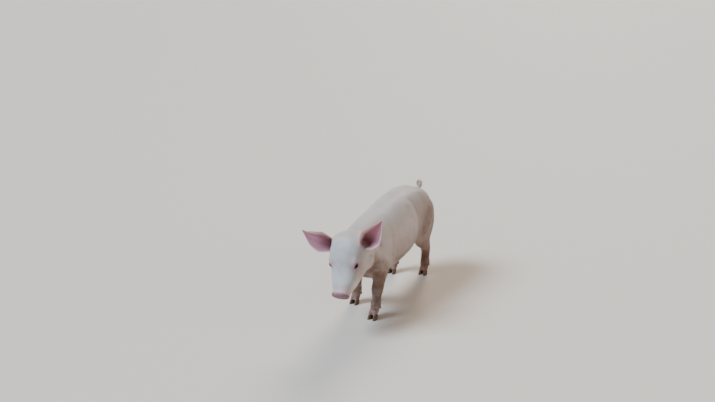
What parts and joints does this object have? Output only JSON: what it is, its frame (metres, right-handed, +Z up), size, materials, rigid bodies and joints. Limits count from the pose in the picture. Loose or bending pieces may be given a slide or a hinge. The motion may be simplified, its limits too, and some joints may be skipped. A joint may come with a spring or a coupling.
{
  "type": "pig",
  "caption": "Young white pig standing with its head lowered and turned, ears pricked and tail curled; a still, life-size museum model.",
  "frame": {"origin": "on the floor, under the middle of the pig's bounding box", "axes": "+Z up, -Y the way the body faces, +X towards the pig's own left side"},
  "size_m": [0.3962, 0.9236, 0.5292],
  "materials": {
    "skin": "soft pink-white skin under short pale bristles",
    "snout_skin": "moist, bare, dull pink skin",
    "eye": "wet, dark and glossy",
    "horn": "dull horn, soiled by the ground"
  },
  "bodies": {
    "root": {"claw_fore_left_left": "horn", "claw_fore_left_right": "horn", "claw_fore_right_left": "horn", "claw_fore_right_right": "horn", "claw_hind_left_left": "horn", "claw_hind_left_right": "horn", "claw_hind_right_left": "horn", "claw_hind_right_right": "horn", "dewclaw_fore_left_left": "horn", "dewclaw_fore_left_right": "horn", "dewclaw_fore_right_left": "horn", "dewclaw_fore_right_right": "horn", "dewclaw_hind_left_left": "horn", "dewclaw_hind_left_right": "horn", "dewclaw_hind_right_left": "horn", "dewclaw_hind_right_right": "horn", "ear_left": "skin", "ear_right": "skin", "eye_left": "eye", "eye_right": "eye", "foreleg_left": "skin", "foreleg_right": "skin", "head": "skin", "hindleg_left": "skin", "hindleg_right": "skin", "lower_jaw": "skin", "neck": "skin", "snout": "snout_skin", "tail": "skin", "trunk": "skin"}
  },
  "joints": []
}
